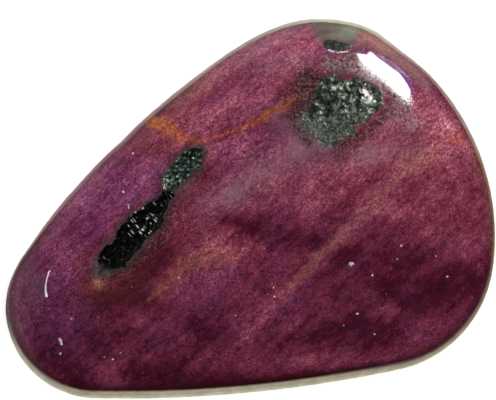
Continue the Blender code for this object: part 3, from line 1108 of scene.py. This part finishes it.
# %% The polish
DOME_ROUGHNESS = 0.05
MINERAL_ROUGHNESS = 0.32
GROUND_ROUGHNESS = 0.6
is_rough = maths("MAXIMUM", is_green, maths("MAXIMUM", is_top, is_edge))
matt = maths("MAXIMUM", is_rough, maths("MULTIPLY", painted("hollow"), 0.7))
roughness = maths("MULTIPLY_ADD", matt, MINERAL_ROUGHNESS, DOME_ROUGHNESS)
roughness = maths("MULTIPLY_ADD", painted("pit_wall"), GROUND_ROUGHNESS, roughness)
roughness = maths("MULTIPLY_ADD", ground, GROUND_ROUGHNESS, roughness)
tree.links.new(roughness, shader.inputs["Roughness"])
shader.inputs["IOR"].default_value = 1.77

# %% The finest relief
BUMP_DEPTH = 0.05 * MM
crystal_relief = cells((0.42, 0.42, 0.42), 0.0, "Distance")
is_mineral = maths("MAXIMUM", is_rough, is_black)
relief = maths("MULTIPLY", maths("MULTIPLY", crystal_relief, is_mineral), 0.5)
fringe_relief = maths("MULTIPLY", grain, maths("ADD", painted("dark_fringe"), painted("pale_fringe")))
relief = maths("MULTIPLY_ADD", fringe_relief, 0.3, relief)
relief = maths("MULTIPLY_ADD", grain, ground, relief)
bump = node("Bump", {"Height": relief, "Strength": 1.0, "Distance": BUMP_DEPTH})
tree.links.new(bump.outputs["Normal"], shader.inputs["Normal"])
stone.data.materials.clear()
stone.data.materials.append(polish)
print("the finish has", len(tree.nodes), "nodes")

# %% [markdown]
# The floor is plain and pale, bright enough to burn out to white in the picture. Its light also
# reaches the girdle from below. It lies a hair under the stone's back, so the two don't flicker.


# %% The floor
def lay_floor(name, depth, finish):
    """A round floor, this far below the stone's back."""
    place = (0, 0, -depth)
    bpy.ops.mesh.primitive_circle_add(vertices=96, radius=1.5, fill_type="NGON", location=place)
    laid = bpy.context.object
    laid.name = name
    laid.data.materials.append(finish)
    print(name, "lies", round(depth / MM, 2), "mm below the stone")
    return laid


floor_finish = bpy.data.materials.new("pale_floor")
floor_finish.use_nodes = True
floor_shader = floor_finish.node_tree.nodes["Principled BSDF"]
floor_shader.inputs["Base Color"].default_value = (0.86, 0.86, 0.85, 1.0)
floor_shader.inputs["Roughness"].default_value = 0.8
floor_shader.inputs["Emission Color"].default_value = (1.0, 1.0, 0.98, 1.0)
floor_shader.inputs["Emission Strength"].default_value = 0.35
floor = lay_floor("studio_floor", 0.02 * MM, floor_finish)
floor.visible_glossy = False

# %% [markdown]
# The studio's floor is brighter on the far side of the stone than on the near side, and only the
# polished dome shows it. So the floor itself is left out of reflections, and a second floor just
# under it, seen in reflections alone, carries that difference. Its levels go once round the stone
# from the left, each with its place as a share of the turn, and they fade with the distance. The
# node helpers build it too, because they add to whichever node tree is named tree.

# %% The floor that reflections see
MIRROR_LEVELS = (
    (0.0, 0.16), (0.056, 0.22), (0.12, 0.0), (0.583, 0.0), (0.64, 0.5), (0.79, 0.45), (0.84, 0.14),
    (1.0, 0.16),
)
MIRROR_TINT = (1.0, 0.88, 0.80)
MIRROR_FADE_START = 30 * MM
MIRROR_FADE_END = 200 * MM
mirror_finish = bpy.data.materials.new("mirrored_floor")
mirror_finish.use_nodes = True
tree = mirror_finish.node_tree
floor_place = node("TexCoord", {}).outputs["Object"]
turn = node("TexGradient", {"Vector": floor_place}, gradient_type="RADIAL").outputs["Fac"]
away = node("VectorMath", {0: floor_place}, operation="LENGTH").outputs["Value"]
fading = {"Value": away, "From Min": MIRROR_FADE_END, "From Max": MIRROR_FADE_START}
nearness = node("MapRange", fading).outputs["Result"]
stops = [(place, (*[share * level for share in MIRROR_TINT], 1)) for place, level in MIRROR_LEVELS]
glow = node("Emission", {"Color": light_scale(turn, stops), "Strength": nearness})
tree.links.new(glow.outputs["Emission"], tree.nodes["Material Output"].inputs["Surface"])
mirror_floor = lay_floor("mirrored_floor", 0.05 * MM, mirror_finish)
mirror_floor.visible_camera = False
mirror_floor.visible_diffuse = False

# %% [markdown]
# A white tent round the stone gives the soft, even light. It is hidden from reflections, because a
# polished dome would otherwise look milky. The reflections come from glowing cards instead: a broad
# window high on the right, and on the left a narrow strip with a faint veil round it. Violet light
# fringes the window on its lower side, from a card behind it and from one flat on the floor.

# %% The soft tent
tent = bpy.data.worlds.new("studio_tent")
tent.use_nodes = True
tent.node_tree.nodes["Background"].inputs["Color"].default_value = (1.0, 1.0, 1.0, 1.0)
tent.node_tree.nodes["Background"].inputs["Strength"].default_value = 1.0
tent.cycles_visibility.glossy = False
bpy.context.scene.world = tent
bpy.context.scene.view_settings.view_transform = "Standard"

# %% The light cards' outlines, as directions from the stone
WINDOW = (
    (67, 17), (61.5, 14), (58.2, 10), (57.9, 6), (57.6, 2.5), (55.8, 2), (51.5, 6.5), (46.5, 12),
    (44.2, 20), (43.8, 27), (46, 30), (49, 31), (53, 31), (56.5, 31.5), (58, 28), (60.5, 23),
    (65, 19),
)
WINDOW_FRINGE = (
    (67, 15), (61.5, 9.5), (59, 4), (57.5, 0), (49, 0), (46.5, 5), (44.4, 10), (44, 14), (52, 14),
    (61, 15),
)
STRIP = (
    (150, 29), (154, 32), (163, 36), (171, 40.5), (176, 44), (176, 40.5), (170, 38), (163, 34.7),
    (156, 31.5), (152, 28.5),
)
VEIL = ((150, 14), (152, 22), (160, 31), (171, 38), (184, 40), (182, 27), (170, 16), (158, 10))

# %% The floor card's outline, in millimetres
FLOOR_FRINGE = ((219, 351), (59, 83), (29, 39), (24, 30), (36, 44), (80, 90), (270, 314))
FLOOR_FRINGE_HEIGHT = 0.15

# %% Hanging a card
CARD_DISTANCE = 400 * MM
WINDOW_DISTANCE = 0.95 * CARD_DISTANCE
VIOLET = (0.25, 0.14, 1.0)
VIOLET_STRENGTH = 1.6


def seen_at(corners, distance=CARD_DISTANCE):
    """Places far from the stone in these directions, each a turn and a height in degrees."""
    places = []
    for azimuth, elevation in corners:
        across, up = radians(azimuth), radians(elevation)
        outwards = Vector((cos(across) * cos(up), sin(across) * cos(up), sin(up)))
        places.append(outwards * distance)
    return places


def glow_card(name, places, strength, colour=(1, 1, 1)):
    """A glowing card with its corners at these places, seen in reflections and not by the camera."""
    bpy.ops.mesh.primitive_circle_add(vertices=len(places), fill_type="NGON")
    card = bpy.context.object
    card.name = name
    for vertex, place in zip(card.data.vertices, places):
        vertex.co = place
    light = bpy.data.materials.new(name)
    light.use_nodes = True
    light_shader = light.node_tree.nodes["Principled BSDF"]
    light_shader.inputs["Base Color"].default_value = (0, 0, 0, 1)
    light_shader.inputs["Emission Color"].default_value = (*colour, 1)
    light_shader.inputs["Emission Strength"].default_value = strength
    card.data.materials.append(light)
    card.visible_camera = False
    print(name, "has", len(places), "corners")
    return card


# %% The light cards
glow_card("window_card", seen_at(WINDOW, WINDOW_DISTANCE), 14)
glow_card("window_fringe", seen_at(WINDOW_FRINGE), VIOLET_STRENGTH, VIOLET)
glow_card("strip_card", seen_at(STRIP), 10, (0.9, 0.9, 1.0))
glow_card("veil_card", seen_at(VEIL), 0.22, (0.7, 0.72, 1.0))
on_floor = [Vector((x, y, FLOOR_FRINGE_HEIGHT)) * MM for x, y in FLOOR_FRINGE]
sill_fringe = glow_card("sill_fringe", on_floor, VIOLET_STRENGTH, VIOLET)
sill_fringe.visible_diffuse = False
